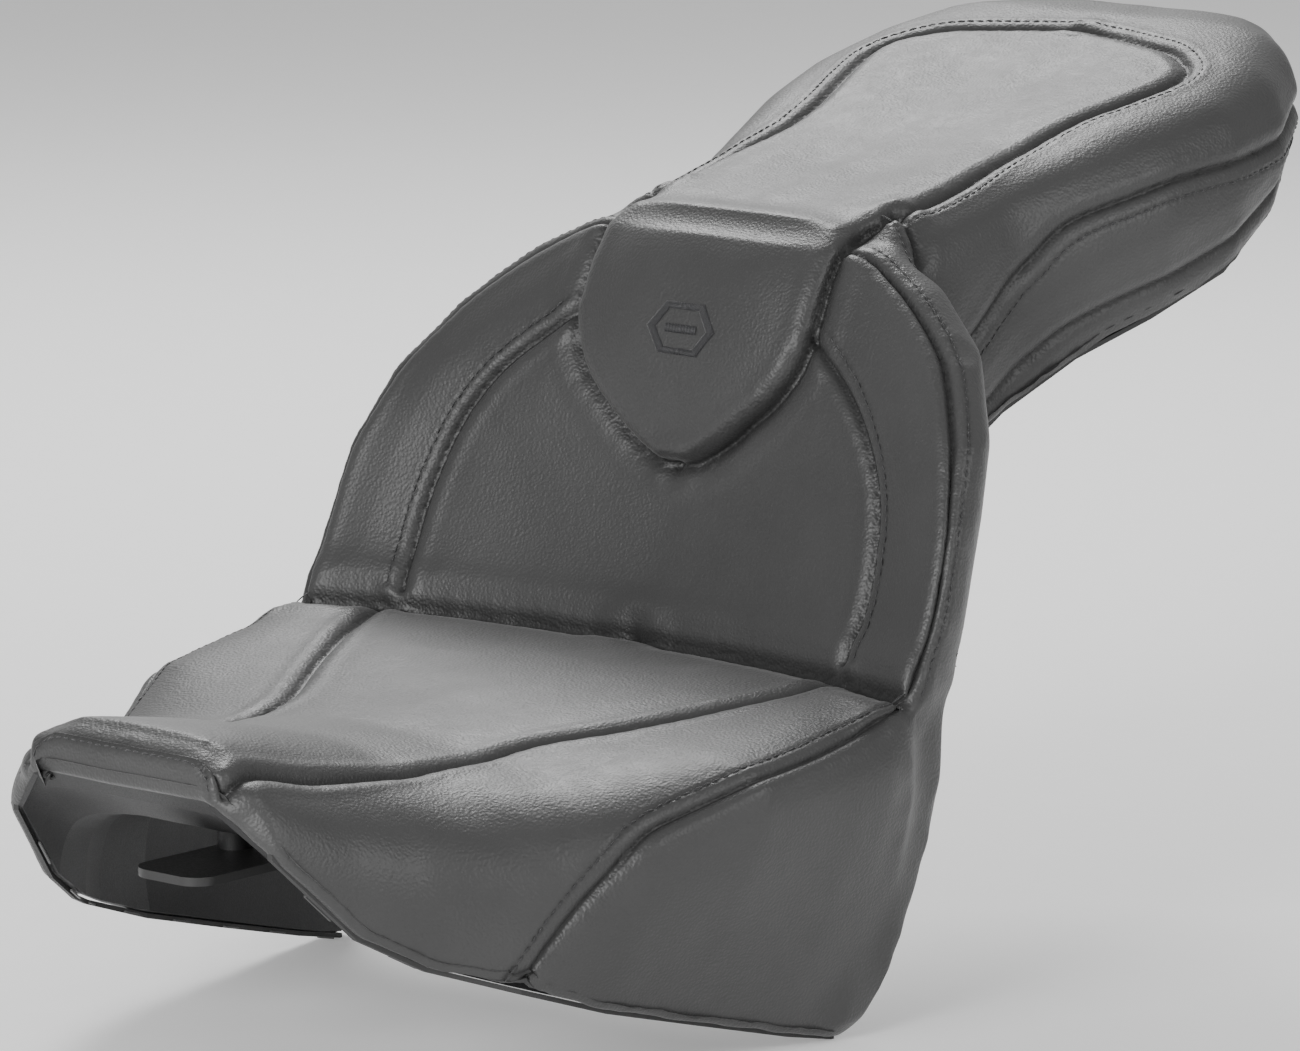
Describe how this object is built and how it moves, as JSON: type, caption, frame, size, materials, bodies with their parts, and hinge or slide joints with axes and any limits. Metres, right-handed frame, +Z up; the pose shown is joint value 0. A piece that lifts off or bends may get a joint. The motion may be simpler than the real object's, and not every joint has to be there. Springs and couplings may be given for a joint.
{
  "type": "motorcycle seat",
  "caption": "Two-up motorcycle seat with a bucket rider section, raised rider backrest and a flared passenger pad on a moulded pan.",
  "frame": {"origin": "middle of the underside of the front tongue, where the frame's strap holds the seat", "axes": "+Z up as installed, -Y towards the front of the motorcycle, +X to the rider's left"},
  "size_m": [0.3998, 0.781, 0.4275],
  "materials": {
    "leather": "fine-grained black vinyl-leather with a soft sheen",
    "embroidery": "raised black thread",
    "foam": "open moulded foam",
    "gel": "soft gel",
    "pan_plastic": "moulded, lightly textured",
    "bracket_paint": "black powder coat",
    "zinc_steel": "zinc plated",
    "bumper_rubber": "moulded rubber",
    "felt": "pressed felt",
    "trim_plastic": "extruded strip",
    "nylon": "natural nylon"
  },
  "bodies": {
    "seat": {"rider_seat_panel": "leather", "nose_band": "leather", "thigh_panel_left": "leather", "thigh_panel_right": "leather", "side_panel_left": "leather", "side_panel_right": "leather", "backrest_panel": "leather", "backrest_bolster_left": "leather", "backrest_bolster_right": "leather", "shield_panel": "leather", "shield_foam": "foam", "backrest_foam": "foam", "crest_panel": "leather", "emblem": "embroidery", "pillion_top_panel": "leather", "pillion_ring_panel": "leather", "pillion_side_band": "leather", "pillion_lower_band": "leather", "rider_foam": "foam", "rider_gel_pad": "gel", "pillion_foam": "foam", "pillion_gel_pad": "gel", "base_pan": "pan_plastic", "front_tongue": "bracket_paint", "front_tongue_rivets": "zinc_steel", "rear_tab": "bracket_paint", "rear_tab_rivets": "zinc_steel", "rubber_bumpers": "bumper_rubber", "fender_pads": "felt", "edge_trim": "trim_plastic", "cover_staples": "zinc_steel"},
    "screw_carrier": {"retaining_washer": "nylon"},
    "screw": {"rear_screw": "zinc_steel"}
  },
  "joints": [
    {"name": "screw_lift", "type": "slide", "parent": "seat", "child": "screw_carrier", "axis": [0, 0, 1], "range_m": [0, 0.007]},
    {"name": "screw_turn", "type": "hinge", "parent": "screw_carrier", "child": "screw", "pos_m": [0, 0.704, 0.26], "axis": [0, 0, 1], "continuous": true}
  ]
}
